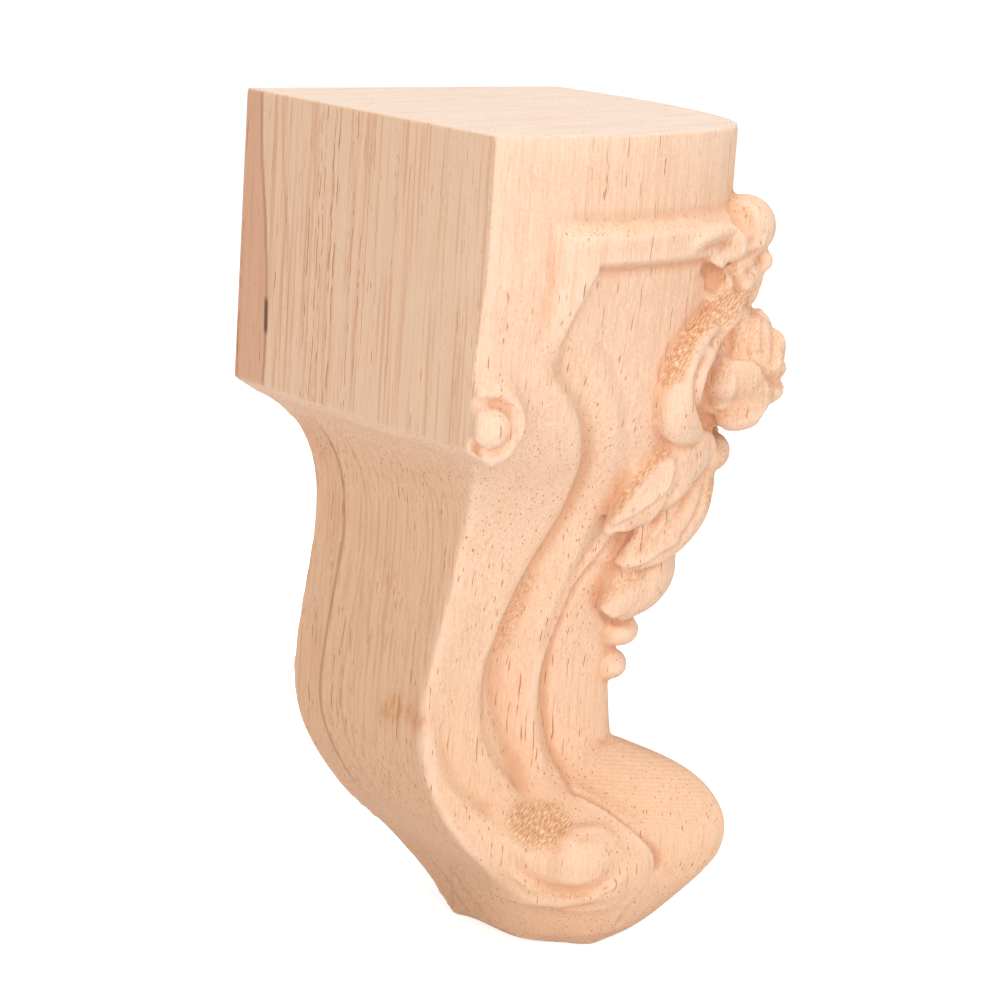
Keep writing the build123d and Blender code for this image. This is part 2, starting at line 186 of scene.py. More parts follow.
def add_leaf(bm, path, widths, thicknesses, facing, side):
    """Smooth closed form along a path, mirrored where side is -1."""
    rings, sides = 28, 20
    at = np.linspace(0, 1, rings)
    spots = bend(path, at * (len(path) - 1))
    wide = bend(widths, at * (len(widths) - 1)) / 2
    thick = bend(thicknesses, at * (len(widths) - 1)) / 2
    along = np.gradient(spots, axis=0)
    across = np.cross(along, np.array(facing, float))
    across /= np.linalg.norm(across, axis=1)[:, None]
    rise = np.cross(along, across)
    rise /= np.linalg.norm(rise, axis=1)[:, None]
    turns = np.linspace(0, 2 * math.pi, sides, endpoint=False)
    loops = []
    for n in range(rings):
        loop = []
        for turn in turns:
            p = spots[n] + across[n] * (wide[n] * math.cos(turn)) + rise[n] * (thick[n] * math.sin(turn))
            loop.append(bm.verts.new((side * p[0] * MM, (p[1] + CORNER_Y) * MM, p[2] * MM)))
        loops.append(loop)
    for low, high in zip(loops, loops[1:]):
        for n in range(sides):
            m = (n + 1) % sides
            bm.faces.new((low[n], low[m], high[m], high[n]))
    bm.faces.new(loops[0][::-1])
    bm.faces.new(loops[-1])


VOXEL = 0.38               # mm
TRIANGLES = 190000


def clay():
    """Object with the solid's own mesh and the rounded forms, made one skin by a voxel remesh."""
    solid = frame["nodes"]["carved_leg"]
    bm = bmesh.new()
    bm.from_mesh(solid.data)
    bm.transform(solid.matrix_world)
    for centre, radii, turn in EGGS + rose_eggs():
        add_egg(bm, centre, radii, turn)
    for path, widths, thicknesses, facing in LEAVES:
        for side in ((1, -1) if facing == OUTWARD else (1,)):
            add_leaf(bm, path, widths, thicknesses, facing, side)
    bmesh.ops.recalc_face_normals(bm, faces=bm.faces)
    mesh = bpy.data.meshes.new("carved_leg_skin")
    bm.to_mesh(mesh)
    bm.free()
    leg = bpy.data.objects.new("carved_leg_skin", mesh)
    bpy.context.collection.objects.link(leg)
    remesh = leg.modifiers.new("remesh", "REMESH")
    remesh.mode = "VOXEL"
    remesh.voxel_size = VOXEL * MM
    remesh.adaptivity = 0
    settle(leg)
    return leg


def settle(obj):
    """Applies the object's modifiers to its mesh."""
    depsgraph = bpy.context.evaluated_depsgraph_get()
    mesh = bpy.data.meshes.new_from_object(obj.evaluated_get(depsgraph))
    obj.modifiers.clear()
    old = obj.data
    obj.data = mesh
    bpy.data.meshes.remove(old)


# Skin: the vertices as numpy arrays, in mm

class Skin:
    """Vertices, normals and edges of the leg, with moves that act on both sides alike."""

    def __init__(self, obj):
        self.obj = obj
        mesh = obj.data
        count = len(mesh.vertices)
        self.at = np.empty(count * 3)
        mesh.vertices.foreach_get("co", self.at)
        self.at = self.at.reshape(-1, 3) / MM
        edges = np.empty(len(mesh.edges) * 2, int)
        mesh.edges.foreach_get("vertices", edges)
        self.edges = edges.reshape(-1, 2)
        self.refresh()

    def refresh(self):
        """Writes the vertices back and reads the normals again."""
        mesh = self.obj.data
        mesh.vertices.foreach_set("co", (self.at * MM).ravel())
        mesh.update()
        normals = np.empty(len(mesh.vertices) * 3)
        mesh.vertices.foreach_get("normal", normals)
        self.normal = normals.reshape(-1, 3)
        self.left = self.at.copy()
        flip = self.at[:, 0] > 0
        self.left[flip, 0] *= -1
        self.left_normal = self.normal.copy()
        self.left_normal[flip, 0] *= -1
        self.px = to_picture(self.left)
        self.seen = np.einsum("ij,ij->i", self.left_normal, EYE - self.left) > -20

    def blur(self, mask, rounds):
        """Softens the border of a mask."""
        for _ in range(rounds):
            mask = (mask + spread(mask, self.edges)) / 2
        return mask

    def smooth(self, mask, rounds, way="even"):
        """Evens the surface where the mask is set.

        The way "even" doesn't shrink it. The ways "up", "level" and "all" melt it along Z, across Z or both.
        """
        edges = self.edges[(mask[self.edges[:, 0]] > 0) | (mask[self.edges[:, 1]] > 0)]
        used, edges = np.unique(edges, return_inverse=True)
        edges = edges.reshape(-1, 2)
        at, mask = self.at[used], mask[used][:, None]
        weights = np.ones(len(edges))
        if way in ("up", "level"):
            run = at[edges[:, 1]] - at[edges[:, 0]]
            upright = (run[:, 2] / (np.linalg.norm(run, axis=1) + 1e-9)) ** 2
            weights = (upright if way == "up" else 1 - upright) ** 2 + 0.02
        for _ in range(rounds):
            for pull in (0.6, -0.62) if way == "even" else (0.7,):
                step = (spread(at, edges, weights) - at) * (pull * mask)
                if way == "level":
                    step[:, 2] = 0
                at += step
        self.at[used] = at

    def lift(self, amounts):
        """Moves the vertices along their normals by amounts in mm."""
        self.at += self.normal * amounts[:, None]
        self.refresh()


def spread(values, edges, weights=None):
    """Mean of the neighbours' values."""
    a, b = edges.T
    w = np.ones(len(a)) if weights is None else weights
    count = len(values)
    total = np.bincount(a, w, count) + np.bincount(b, w, count)
    total[total == 0] = 1
    if values.ndim == 1:
        return (np.bincount(a, w * values[b], count) + np.bincount(b, w * values[a], count)) / total
    return np.stack([spread(column, edges, w) for column in values.T], axis=1)


def inside(points, polygon):
    """True for the pixel places that lie in a polygon."""
    x, y = points.T
    result = np.zeros(len(points), bool)
    for (x0, y0), (x1, y1) in zip(polygon, polygon[1:] + polygon[:1]):
        if y0 != y1:
            crossing = (y0 > y) != (y1 > y)
            result ^= crossing & (x < (x1 - x0) * (y - y0) / (y1 - y0) + x0)
    return result


def hit_at(tree, u, v):
    """Point on the skin, in mm, that a pixel of the photograph shows, or None beside the leg."""
    return tree.ray_cast(Vector(EYE), sight(u, v))[0]


def draw(tree, pixels):
    """Points on the skin, in mm, along a smooth line through pixels of the photograph."""
    steps = np.linspace(0, len(pixels) - 1, 6 * (len(pixels) - 1) + 1)
    hits = [hit_at(tree, u, v) for u, v in bend(pixels, steps)]
    return np.array([hit for hit in hits if hit is not None])


def reach(skin, line, limit):
    """For vertices near a line: their numbers, distance, side (positive to its right) and share along it."""
    low, high = line.min(axis=0) - limit, line.max(axis=0) + limit
    near = np.flatnonzero(np.all((skin.left > low) & (skin.left < high), axis=1))
    spots = skin.left[near]
    best = np.full(len(near), 1e9)
    side = np.zeros(len(near))
    share = np.zeros(len(near))
    for n, (a, b) in enumerate(zip(line, line[1:])):
        run = b - a
        length = run @ run
        if length < 1e-9:
            continue
        t = np.clip((spots - a) @ run / length, 0, 1)
        gap = spots - a - t[:, None] * run
        far = np.linalg.norm(gap, axis=1)
        closer = far < best
        best[closer] = far[closer]
        right = np.cross(run, -np.array(LOOK))
        side[closer] = np.sign(gap[closer] @ right)
        share[closer] = (n + t[closer]) / (len(line) - 1)
    keep = best < limit
    return near[keep], best[keep], side[keep], share[keep]


def fade(share, ends):
    """Eases a stroke in and out at its ends."""
    start, end = ends
    value = np.ones_like(share)
    if start:
        value *= np.clip(share / start, 0, 1)
    if end:
        value *= np.clip((1 - share) / end, 0, 1)
    return value * value * (3 - 2 * value)


def tree_of(skin):
    """Search tree over the skin in mm."""
    mesh = skin.obj.data
    mesh.calc_loop_triangles()
    corners = np.empty(len(mesh.loop_triangles) * 3, int)
    mesh.loop_triangles.foreach_get("vertices", corners)
    return BVHTree.FromPolygons(skin.at.tolist(), corners.reshape(-1, 3).tolist())


# Strokes over the photograph's picture: kind, pixels, width in mm, depth in mm, ends.
# A groove is cut along its line and a ridge stands up along it. A step raises what is on the
# right of its line, seen in the direction it is drawn, and sinks what is on its left.
STROKES = [
    # scroll lines down the shaft
    ("step", [(541, 338), (546, 360), (556, 378), (567, 395), (575, 410), (580, 430), (581, 450),
              (578, 470), (570, 490), (562, 510), (550, 530), (537, 550), (528, 565), (520, 580),
              (510, 600), (500, 620), (493, 640), (486, 660), (482, 680), (480, 700), (481, 720),
              (484, 740), (491, 755), (500, 768), (512, 785), (526, 799)], 1.3, 0.6, (0.06, 0.04)),
    ("groove", [(592, 336), (600, 348), (610, 360), (616, 372), (620, 385), (625, 400), (627, 420),
                (627, 440), (624, 456)], 1.5, 0.28, (0.15, 0.3)),
    ("groove", [(597, 557), (592, 566), (580, 580), (572, 592), (563, 612), (555, 632), (549, 652),
                (545, 672), (544, 690), (545, 710), (548, 730), (553, 750), (561, 765), (568, 778),
                (573, 790)], 0.8, 0.5, (0.1, 0)),
    ("ridge", [(611, 527), (605, 537), (592, 555), (580, 572), (568, 590), (560, 610), (549, 635),
               (540, 660), (536, 680), (536, 700), (540, 720), (545, 740)], 1.0, 0.4, (0.05, 0.3)),
    ("step", [(436, 680), (434, 710), (436, 740), (442, 765), (452, 785), (465, 800), (480, 812),
              (500, 824)], 1.3, 0.55, (0.4, 0.15)),
    # cleft between the lobe of the foot and the toe
    ("step", [(573, 790), (604, 806), (628, 824), (647, 841), (656, 857), (653, 874), (642, 891),
              (624, 913), (607, 942)], 0.6, 0.45, (0.05, 0.05)),
    ("groove", [(573, 790), (604, 806), (628, 824), (647, 841), (656, 857), (653, 874), (642, 891),
                (624, 913), (607, 942)], 0.7, 0.7, (0, 0.05)),
    # rolled rim, gutter and eye of the foot scroll
    ("groove", [(508, 842), (514, 858), (522, 870), (538, 882), (563, 889), (594, 886), (616, 872),
                (630, 852)], 1.6, 0.4, (0.2, 0.3)),
    ("ridge", [(500, 866), (516, 876), (534, 888), (551, 895), (567, 898), (587, 896), (608, 888),
               (624, 877), (634, 862)], 0.8, 0.5, (0.2, 0.3)),
    ("step", [(606, 898), (589, 903), (563, 907), (534, 905), (506, 898), (489, 889)],
     0.9, 0.55, (0.2, 0.05)),
    ("groove", [(575, 846), (584, 838), (595, 838), (604, 846)], 1.2, 0.35, (0.3, 0.3)),
    # corner scroll: gutter round the eye and hollow under it
    ("groove", [(484, 410), (492, 405), (502, 403), (513, 409), (520, 420), (522, 434), (518, 447),
                (510, 458)], 1.2, 0.3, (0.15, 0.2)),
    ("groove", [(474, 447), (475, 451)], 0.7, 1.0, (0, 0)),
    # curl: hollow on its left, edge line down its side
    ("groove", [(728, 212), (744, 220), (755, 234), (759, 244)], 2.0, 0.7, (0.3, 0.1)),
    ("ridge", [(752, 202), (757, 220), (762, 248)], 0.8, 0.5, (0.2, 0.1)),
    ("groove", [(733, 203), (741, 214), (744, 228), (738, 236)], 1.2, 0.6, (0.2, 0.1)),
    # side leaf and the flutes below it
    ("ridge", [(688, 250), (700, 241), (714, 234), (730, 231), (745, 238)], 1.1, 0.9, (0.2, 0.1)),
    ("groove", [(700, 255), (714, 248), (730, 246), (742, 252)], 0.9, 0.5, (0.2, 0.2)),
    ("groove", [(702, 264), (711, 275), (715, 298)], 1.8, 0.7, (0.2, 0.2)),
    ("ridge", [(716, 259), (724, 270), (731, 294)], 0.9, 0.7, (0.2, 0.2)),
    ("groove", [(731, 262), (738, 277), (739, 294)], 1.2, 0.9, (0.2, 0.2)),
    ("groove", [(746, 266), (752, 275)], 0.9, 0.4, (0.2, 0.2)),
    ("groove", [(758, 262), (763, 258), (765, 266)], 0.7, 0.6, (0, 0)),
    # curved stem: crest beside its torn slope, hollow between it and the flower
    ("ridge", [(746, 304), (730, 324), (714, 331), (701, 340), (693, 360), (688, 380), (690, 400)],
     1.0, 0.7, (0.1, 0.3)),
    ("groove", [(727, 328), (718, 340), (716, 350)], 1.6, 0.9, (0.2, 0.2)),
    ("groove", [(712, 356), (704, 366), (699, 385), (701, 408), (708, 432)], 1.1, 0.8, (0.1, 0.1)),
    # rose: oval petal, folded petals round it, flutes of the upper petals
    ("step", [(716, 352), (728, 355), (737, 367), (739, 380), (737, 392), (731, 405), (724, 412),
              (710, 411)], 0.7, 0.55, (0.1, 0.05)),
    ("groove", [(728, 356), (737, 367), (739, 380), (737, 392), (731, 405), (724, 412), (710, 411)],
     0.6, 0.5, (0, 0.05)),
    ("step", [(727, 357), (744, 356), (757, 360), (764, 371), (767, 378), (782, 387)], 0.7, 0.55, (0, 0)),
    ("groove", [(727, 357), (744, 357), (757, 361), (764, 372), (767, 379), (782, 388)],
     0.6, 0.5, (0, 0)),
    ("step", [(767, 378), (769, 387), (771, 396), (769, 403), (764, 412)], 0.7, 0.6, (0.1, 0)),
    ("groove", [(758, 300), (753, 317), (752, 342), (753, 356)], 0.9, 0.6, (0.1, 0.1)),
    ("groove", [(769, 306), (773, 325), (776, 345), (774, 368)], 0.9, 0.6, (0.1, 0.1)),
    ("groove", [(744, 312), (737, 326), (730, 342), (728, 353)], 0.9, 0.5, (0.1, 0.1)),
    ("groove", [(764, 315), (764, 340), (765, 358)], 0.6, 0.5, (0.2, 0.2)),
    ("groove", [(747, 325), (742, 345), (741, 354)], 0.6, 0.5, (0.2, 0.2)),
    ("groove", [(710, 414), (711, 424), (718, 431)], 0.9, 0.6, (0.1, 0.1)),
    ("groove", [(742, 404), (738, 416), (728, 424)], 0.9, 0.3, (0.3, 0.3)),
    # outer leaf: crest beside its torn slope, smooth lens, thin lip below
    ("ridge", [(673, 455), (656, 469), (638, 492), (619, 515), (611, 526)], 0.7, 0.45, (0.1, 0.1)),
    ("step", [(673, 453), (676, 466), (673, 480), (667, 492), (650, 505), (635, 515), (620, 522),
              (609, 527)], 0.6, 0.45, (0.1, 0.1)),
    ("step", [(668, 502), (655, 517), (643, 526), (626, 531), (605, 532)], 0.6, 0.5, (0.1, 0.1)),
    # inner leaf: flutes along it and its overhanging lower edge
    ("groove", [(686, 472), (678, 490), (664, 510), (652, 526), (640, 545), (633, 560)],
     0.8, 0.5, (0.2, 0.1)),
    ("groove", [(697, 474), (689, 498), (676, 518), (662, 535), (650, 555)], 0.8, 0.5, (0.2, 0.1)),
    ("groove", [(707, 479), (702, 502), (692, 525), (676, 545)], 0.8, 0.5, (0.1, 0.2)),
    ("step", [(684, 541), (665, 551), (646, 563), (630, 568), (617, 565)], 0.7, 0.55, (0.1, 0)),
    # husk: lower edge
    ("groove", [(601, 612), (612, 620), (634, 620)], 0.8, 0.6, (0.1, 0.1)),
]

# Soft swellings: pixel, radius in mm, height in mm
SWELLS = [
    ((495, 431), 2.6, 0.9),       # eye of the corner scroll
    ((584, 862), 4.2, 0.5),       # eye of the foot scroll
    ((722, 384), 2.6, 0.4),       # oval petal
    ((741, 249), 2.2, 0.4),       # side leaf
]

# Patches by the photograph's picture where the fibre is torn: polygon, strength
TORN = [
    ([(706, 299), (699, 313), (688, 324), (679, 338), (672, 351), (665, 365), (661, 376), (663, 388),
      (684, 380), (690, 362), (699, 340), (714, 329), (730, 324), (746, 306), (753, 288), (735, 291),
      (721, 295)], 1.0),
    ([(660, 447), (674, 453), (657, 467), (638, 491), (619, 514), (612, 524), (615, 508), (626, 487),
      (643, 465)], 1.0),
    ([(628, 568), (648, 564), (642, 580), (622, 594), (600, 606), (600, 598)], 0.7),
    ([(507, 818), (518, 804), (536, 800), (560, 806), (573, 826), (566, 834), (552, 845), (530, 850),
      (512, 838)], 1.0),
    ([(521, 575), (541, 570), (533, 592), (517, 620), (510, 650), (496, 650), (502, 622), (511, 598)],
     0.6),
    ([(715, 365), (728, 358), (735, 370), (733, 382), (718, 384)], 0.6),
    ([(530, 884), (552, 892), (588, 892), (590, 899), (566, 902), (536, 894)], 0.5),
    ([(708, 478), (714, 478), (711, 508), (705, 512)], 0.8),
    ([(717, 441), (727, 452), (725, 470), (719, 474), (714, 456)], 0.6),
    ([(731, 320), (750, 306), (768, 310), (786, 345), (784, 390), (760, 412), (724, 428), (712, 412),
      (740, 404), (740, 366), (728, 352)], 0.35),
    ([(715, 266), (742, 266), (740, 294), (716, 296)], 0.35),
    ([(625, 520), (676, 500), (700, 470), (712, 480), (700, 524), (668, 552), (622, 560)], 0.25),
]

# Tool lines on the toe: polygon
TOOL = [(575, 786), (604, 752), (640, 745), (692, 770), (712, 800), (704, 826), (664, 828), (622, 812),
        (592, 800)]

# Brown stains: pixel, radius in mm; and the thin brown line by the foot
STAINS = [((384, 708), 1.6), ((397, 709), 1.5), ((409, 712), 1.4), ((418, 719), 1.2), ((420, 729), 0.8)]
VEIN = [(436, 856), (455, 874), (473, 901), (498, 931)]

# Parts of the picture that are evened before the strokes are cut
SHAFT_AREA = [(440, 350), (560, 350), (640, 380), (650, 440), (600, 530), (590, 600), (600, 690),
              (600, 735), (566, 786), (500, 820), (380, 700), (380, 520), (460, 468)]
SCROLL_HOLE = [(465, 385), (535, 385), (535, 470), (465, 475)]
SCROLL_AREA = [(478, 378), (512, 378), (542, 400), (542, 450), (520, 474), (478, 480)]
ROSE_AREA = [(742, 318), (756, 303), (772, 318), (782, 345), (779, 388), (762, 408), (742, 414),
             (722, 426), (710, 414), (708, 370), (728, 345)]

# Rounds of evening
SKIN_ROUNDS, SHAFT_ROUNDS, ARRIS_ROUNDS, FOOT_ROUNDS, BAND_ROUNDS = 2, 60, 60, 30, 200
SCROLL_ROUNDS = ROSE_ROUNDS = 22

# Places and sizes in mm
BLOCK_FLOOR = 61           # underside of the block
ARRIS_WIDTH = 1.2          # half width of the strip along the rear arris
FOOT_TOP, FOOT_BACK = 24, 2
SOLE_TOP = 0.3
BAND_TOP, BAND_FADE = 11, 6    # band above the sole that is rounded in plan
BAND_SWELL = 0.35
STEP_REACH = 7.0           # how far from its line a step is felt


def flats(skin):
    """Mask that is 0 on the sawn and level faces and 1 on the rest."""
    back = np.abs(skin.left_normal @ SAWN_WAY)
    level = np.abs(skin.normal[:, 2]) > 0.97
    flat = level | ((back > 0.96) & (skin.left[:, 1] > CORNER_Y + skin.left[:, 0] - 0.5))
    free = skin.blur(np.where(flat, 0.0, 1.0), 1)
    free[flat] = 0
    return free


def region(skin, polygon, blur):
    """Soft mask of what the picture shows inside a polygon."""
    return skin.blur((inside(skin.px, polygon) & skin.seen).astype(float), blur)


def melt(skin, free):
    """Evens the shaft, the rear arris, the foot, the corner scroll and the flower."""
    height = skin.left[:, 2]
    skin.smooth(free, SKIN_ROUNDS)
    shaft = inside(skin.px, SHAFT_AREA) & ~inside(skin.px, SCROLL_HOLE) & skin.seen
    skin.smooth(free * skin.blur(shaft.astype(float), 8), SHAFT_ROUNDS, "up")
    arris = (np.abs(skin.left[:, 0]) < ARRIS_WIDTH) & (skin.normal[:, 1] > 0.6)
    arris &= (height > 3) & (height < BLOCK_FLOOR)
    skin.smooth(skin.blur(arris.astype(float), 1), ARRIS_ROUNDS, "up")
    foot = (height < FOOT_TOP) & (skin.left[:, 1] < FOOT_BACK)
    sole = height < SOLE_TOP
    skin.smooth(np.where(sole, 1.0, free) * skin.blur(foot.astype(float), 6), FOOT_ROUNDS)
    skin.at[sole, 2] = height[sole]
    band = np.where(skin.left[:, 1] < FOOT_BACK, np.clip((BAND_TOP - height) / BAND_FADE, 0, 1), 0.0)
    skin.smooth(band, BAND_ROUNDS, "level")
    skin.at[:, :2] += skin.normal[:, :2] * (BAND_SWELL * band)[:, None]
    skin.smooth(region(skin, SCROLL_AREA, 5) * free, SCROLL_ROUNDS, "all")
    skin.smooth(region(skin, ROSE_AREA, 5), ROSE_ROUNDS, "all")
    skin.refresh()


def carve(skin):
    """Cuts the strokes and raises the swellings, and keeps the skin inside the solid's box."""
    free = flats(skin)
    melt(skin, free)
    tree = tree_of(skin)
    steps, cuts, rises = (np.zeros(len(skin.at)) for _ in range(3))
    for kind, pixels, width, depth, ends in STROKES:
        limit = STEP_REACH if kind == "step" else 2.4 * width
        near, far, side, share = reach(skin, draw(tree, pixels), limit)
        strength = depth * fade(share, ends)
        bell = np.exp(-((far / (0.6 * width)) ** 2))
        if kind == "groove":
            cuts[near] = np.minimum(cuts[near], -strength * bell)
        elif kind == "ridge":
            rises[near] = np.maximum(rises[near], strength * bell)
        else:
            across = np.clip(side * far / width, -1, 1)
            steps[near] += strength * across * (1.5 - 0.5 * across**2) * np.exp(-far / (1.6 * width))
    for (u, v), radius, rise in SWELLS:
        hit = np.array(hit_at(tree, u, v))
        far = np.linalg.norm(skin.left - hit, axis=1) / radius
        steps += rise * np.clip(1 - far**2, 0, 1) ** 1.5
    skin.lift(skin.blur(steps + cuts + rises, 1))
    skin.smooth(free, 1)
    lowest, highest = np.array(cad_box[0]) / MM, np.array(cad_box[1]) / MM
    skin.at = np.clip(skin.at, lowest, highest)
    skin.refresh()


def thin(leg, triangles):
    """Cuts the leg down to a number of triangles."""
    faces = sum(len(p.vertices) - 2 for p in leg.data.polygons)
    decimate = leg.modifiers.new("thin", "DECIMATE")
    decimate.ratio = min(1.0, triangles / faces)
    decimate.use_collapse_triangulate = True
    settle(leg)


# Hollows are told by the distance to two evened skins: rounds of evening, and mm that count as 1
FINE_ROUNDS, BROAD_ROUNDS = 8, 45
FINE_DEPTH, BROAD_DEPTH = 0.14, 1.1


def hollows(skin):
    """How hollow the skin is: below 0 in grooves and corners, above 0 on crests and edges; the wood paints
    shade and highlight by it.
    """
    evened = [skin.at]
    for _ in range(BROAD_ROUNDS):
        evened.append(evened[-1] + (spread(evened[-1], skin.edges) - evened[-1]) * 0.7)
    fine = np.einsum("ij,ij->i", skin.at - evened[FINE_ROUNDS], skin.normal) / FINE_DEPTH
    broad = np.einsum("ij,ij->i", skin.at - evened[BROAD_ROUNDS], skin.normal) / BROAD_DEPTH
    return skin.blur(np.clip(fine + broad, -1.5, 1.5), 3)


def stains(skin):
    """Strength of the stains and of the thin brown line by the foot."""
    tree = tree_of(skin)
    stain = np.zeros(len(skin.at))
    for (u, v), radius in STAINS:
        hit = np.array(hit_at(tree, u, v))
        stain += np.exp(-np.sum((skin.at - hit) ** 2, axis=1) / radius**2)
    near, far = reach(skin, draw(tree, VEIN), 1.2)[:2]
    stain[near] += 0.8 * np.exp(-((far / 0.28) ** 2)) * (skin.at[near, 0] < 0)
    return stain


def mark(leg):
    """Writes what the material reads to the mesh."""
    skin = Skin(leg)
    torn = np.zeros(len(skin.at))
    for polygon, strength in TORN:
        torn = np.maximum(torn, strength * (inside(skin.px, polygon) & skin.seen))
    sawn = np.clip((skin.left_normal @ SAWN_WAY - 0.74) / 0.2, 0, 1)
    end = (skin.normal[:, 2] > 0.9) & (skin.at[:, 2] > 99)
    # the hollow mark drives the painted shade in grooves and corners and the painted highlight on crests and
    # edges
    marks = {"hollow": hollows(skin), "torn": skin.blur(torn, 3), "sawn": skin.blur(sawn, 1),
             "tool": region(skin, TOOL, 6), "stain": stains(skin), "end": end}
    for name, values in marks.items():
        layer = leg.data.attributes.new(name, "FLOAT", "POINT")
        layer.data.foreach_set("value", values.astype(np.float32))
    lay = np.stack((skin.left @ np.array(RIGHT), skin.left @ np.array(UP), np.zeros(len(skin.at))), axis=1)
    layer = leg.data.attributes.new("lay", "FLOAT_VECTOR", "POINT")
    layer.data.foreach_set("vector", lay.astype(np.float32).ravel())


def face_normals(leg):
    """Smooth shading in which the larger faces weigh more, so the flats stay flat up to their edges."""
    mesh = leg.data
    for polygon in mesh.polygons:
        polygon.use_smooth = True
    corners = np.empty(len(mesh.polygons) * 3, int)
    mesh.polygons.foreach_get("vertices", corners)
    corners = corners.reshape(-1, 3)
    at = np.empty(len(mesh.vertices) * 3)
    mesh.vertices.foreach_get("co", at)
    a, b, c = (at.reshape(-1, 3)[corners[:, n]] for n in range(3))
    areas = np.cross(b - a, c - a)
    normals = np.zeros((len(mesh.vertices), 3))
    for n in range(3):
        np.add.at(normals, corners[:, n], areas)
    normals /= np.linalg.norm(normals, axis=1)[:, None] + 1e-20
    mesh.normals_split_custom_set_from_vertices(normals)


# Wood: pale unfinished hardwood with brown pores along Z, faint rings and torn fibre

class Graph:
    """Short calls for a material's nodes."""

    def __init__(self, name):
        self.material = bpy.data.materials.new(name)
        self.material.use_nodes = True
        self.tree = self.material.node_tree
        self.tree.nodes.clear()

    def node(self, kind, inputs=None, **settings):
        made = self.tree.nodes.new(kind)
        for key, value in settings.items():
            setattr(made, key, value)
        for key, value in (inputs or {}).items():
            if isinstance(value, bpy.types.NodeSocket):
                self.tree.links.new(value, made.inputs[key])
            else:
                made.inputs[key].default_value = value
        return made

    def sum(self, operation, *values, clamp=False):
        made = self.node("ShaderNodeMath", dict(enumerate(values)), operation=operation, use_clamp=clamp)
        return made.outputs[0]

    def scaled(self, source, scale):
        made = self.node("ShaderNodeMapping", {"Vector": source, "Scale": scale})
        return made.outputs[0]

    def noise(self, source, scale, detail=2.0, rough=0.5):
        inputs = {"Vector": source, "Scale": scale, "Detail": detail, "Roughness": rough}
        return self.node("ShaderNodeTexNoise", inputs).outputs["Fac"]

    def span(self, value, low, high, to_low=0.0, to_high=1.0):
        inputs = {"Value": value, "From Min": low, "From Max": high, "To Min": to_low, "To Max": to_high}
        made = self.node("ShaderNodeMapRange", inputs, interpolation_type="SMOOTHSTEP")
        return made.outputs[0]

    def mix(self, share, a, b):
        made = self.node("ShaderNodeMix", data_type="RGBA")
        for socket, value in ((made.inputs[0], share), (made.inputs[6], a), (made.inputs[7], b)):
            if isinstance(value, bpy.types.NodeSocket):
                self.tree.links.new(value, socket)
            else:
                socket.default_value = value
        return made.outputs[2]


def shade(red, green, blue):
    """Linear colour from 0 to 255 values as seen on screen."""
    values = [c / 255 for c in (red, green, blue)]
    return (*[c / 12.92 if c <= 0.04045 else ((c + 0.055) / 1.055) ** 2.4 for c in values], 1)


def pores(g, place, scale, wander, size, seed):
    """Thin tubes along Z that weave in and out of the surface; 1 on a pore, 0 beside it."""
    slow = g.scaled(place, (0.5, 0.5, 0.3))
    drift = g.node("ShaderNodeTexNoise", {"Vector": slow, "Scale": 1.0, "Detail": 1.0}).outputs["Color"]
    moved = g.node("ShaderNodeVectorMath", {0: drift, 1: (wander, wander, 0)}, operation="MULTIPLY")
    spot = g.node("ShaderNodeVectorMath", {0: place, 1: moved.outputs[0]}, operation="ADD")
    spot = g.node("ShaderNodeVectorMath", {0: spot.outputs[0], 1: (seed, seed * 0.7, 0)}, operation="ADD")
    inputs = {"Vector": spot.outputs[0], "Scale": scale}
    cells = g.node("ShaderNodeTexVoronoi", inputs, voronoi_dimensions="2D")
    odd = g.node("ShaderNodeSeparateColor", {"Color": cells.outputs["Color"]}).outputs[0]
    broad = g.span(odd, 0.25, 1.0, 0.2, 1.0)
    edge = g.sum("MULTIPLY", broad, size * scale)
    return g.span(g.sum("DIVIDE", cells.outputs["Distance"], edge), 1.25, 0.45)


def mask(g, name):
    """Value that was written to the mesh under a name."""
    return g.node("ShaderNodeAttribute", attribute_name=name).outputs["Fac"]


RINGS = [(-2.3, 0.5), (-5.4, 0.18)]    # mm from the inner corner, strength
STREAK_HEIGHT = 73.8                   # mm


